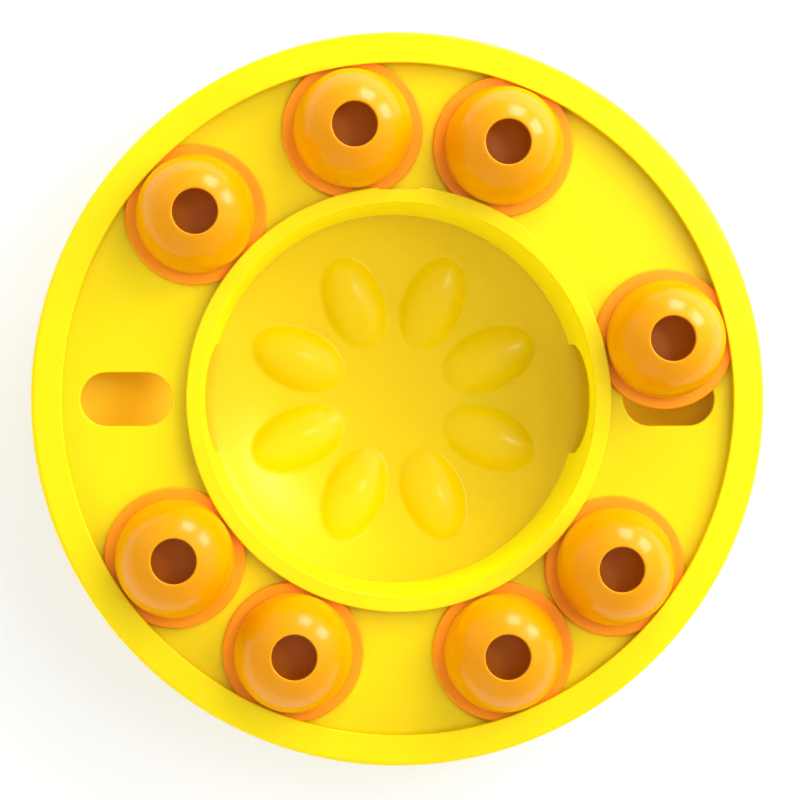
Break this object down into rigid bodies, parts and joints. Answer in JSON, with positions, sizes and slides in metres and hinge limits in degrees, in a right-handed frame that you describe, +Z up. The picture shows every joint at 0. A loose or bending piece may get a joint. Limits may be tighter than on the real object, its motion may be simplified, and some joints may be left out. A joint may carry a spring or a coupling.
{
  "type": "dog puzzle feeder toy",
  "caption": "Round sliding dog puzzle feeder: hollow domed pucks ride a covered track over drop slots, and chutes lead to a central dish with raised bumps.",
  "frame": {"origin": "on the table under the toy's centre", "axes": "+Z up, the two drop slots lie along X, the fingernail notch points to +Y"},
  "size_m": [0.25, 0.25, 0.0671],
  "materials": {
    "yellow_shell": "satin moulded polypropylene, lemon yellow",
    "dome_orange": "glossy moulded ABS, warm orange",
    "slider_orange": "satin moulded ABS, reddish orange",
    "foot_rubber": "matt moulded rubber",
    "screw_steel": "zinc-plated steel"
  },
  "bodies": {
    "base": {"base_shell": "yellow_shell", "feeder_dish": "yellow_shell", "drop_chute_1": "yellow_shell", "drop_chute_2": "yellow_shell", "track_deck": "yellow_shell", "outer_rim": "yellow_shell", "deck_screws": "screw_steel", "foot_1": "foot_rubber", "foot_2": "foot_rubber", "foot_3": "foot_rubber", "foot_4": "foot_rubber", "foot_5": "foot_rubber", "foot_6": "foot_rubber"},
    "collar": {"bowl_collar": "yellow_shell"},
    "puck_1": {"slider_base_1": "slider_orange", "treat_dome_1": "dome_orange"},
    "puck_2": {"slider_base_2": "slider_orange", "treat_dome_2": "dome_orange"},
    "puck_3": {"slider_base_3": "slider_orange", "treat_dome_3": "dome_orange"},
    "puck_4": {"slider_base_4": "slider_orange", "treat_dome_4": "dome_orange"},
    "puck_5": {"slider_base_5": "slider_orange", "treat_dome_5": "dome_orange"},
    "puck_6": {"slider_base_6": "slider_orange", "treat_dome_6": "dome_orange"},
    "puck_7": {"slider_base_7": "slider_orange", "treat_dome_7": "dome_orange"},
    "puck_8": {"slider_base_8": "slider_orange", "treat_dome_8": "dome_orange"}
  },
  "joints": [
    {"name": "collar_lift", "type": "slide", "parent": "base", "child": "collar", "axis": [0, 0, 1], "range_m": [0, 0.05]},
    {"name": "puck_1_travel", "type": "hinge", "parent": "base", "child": "puck_1", "pos_m": [0, 0, 0.0445], "axis": [0, 0, 1], "range_deg": [-15, 12.4]},
    {"name": "puck_2_travel", "type": "hinge", "parent": "base", "child": "puck_2", "pos_m": [0, 0, 0.0445], "axis": [0, 0, 1], "range_deg": [-12.4, 2.2]},
    {"name": "puck_3_travel", "type": "hinge", "parent": "base", "child": "puck_3", "pos_m": [0, 0, 0.0445], "axis": [0, 0, 1], "range_deg": [0, 8]},
    {"name": "puck_4_travel", "type": "hinge", "parent": "base", "child": "puck_4", "pos_m": [0, 0, 0.0445], "axis": [0, 0, 1], "range_deg": [0, 43.5]},
    {"name": "puck_5_travel", "type": "hinge", "parent": "base", "child": "puck_5", "pos_m": [0, 0, 0.0445], "axis": [0, 0, 1], "range_deg": [-4, 2]},
    {"name": "puck_6_travel", "type": "hinge", "parent": "base", "child": "puck_6", "pos_m": [0, 0, 0.0445], "axis": [0, 0, 1], "range_deg": [0, 7.5]},
    {"name": "puck_7_travel", "type": "hinge", "parent": "base", "child": "puck_7", "pos_m": [0, 0, 0.0445], "axis": [0, 0, 1], "range_deg": [-7.5, 0]},
    {"name": "puck_8_travel", "type": "hinge", "parent": "base", "child": "puck_8", "pos_m": [0, 0, 0.0445], "axis": [0, 0, 1], "range_deg": [0, 5.4]}
  ]
}
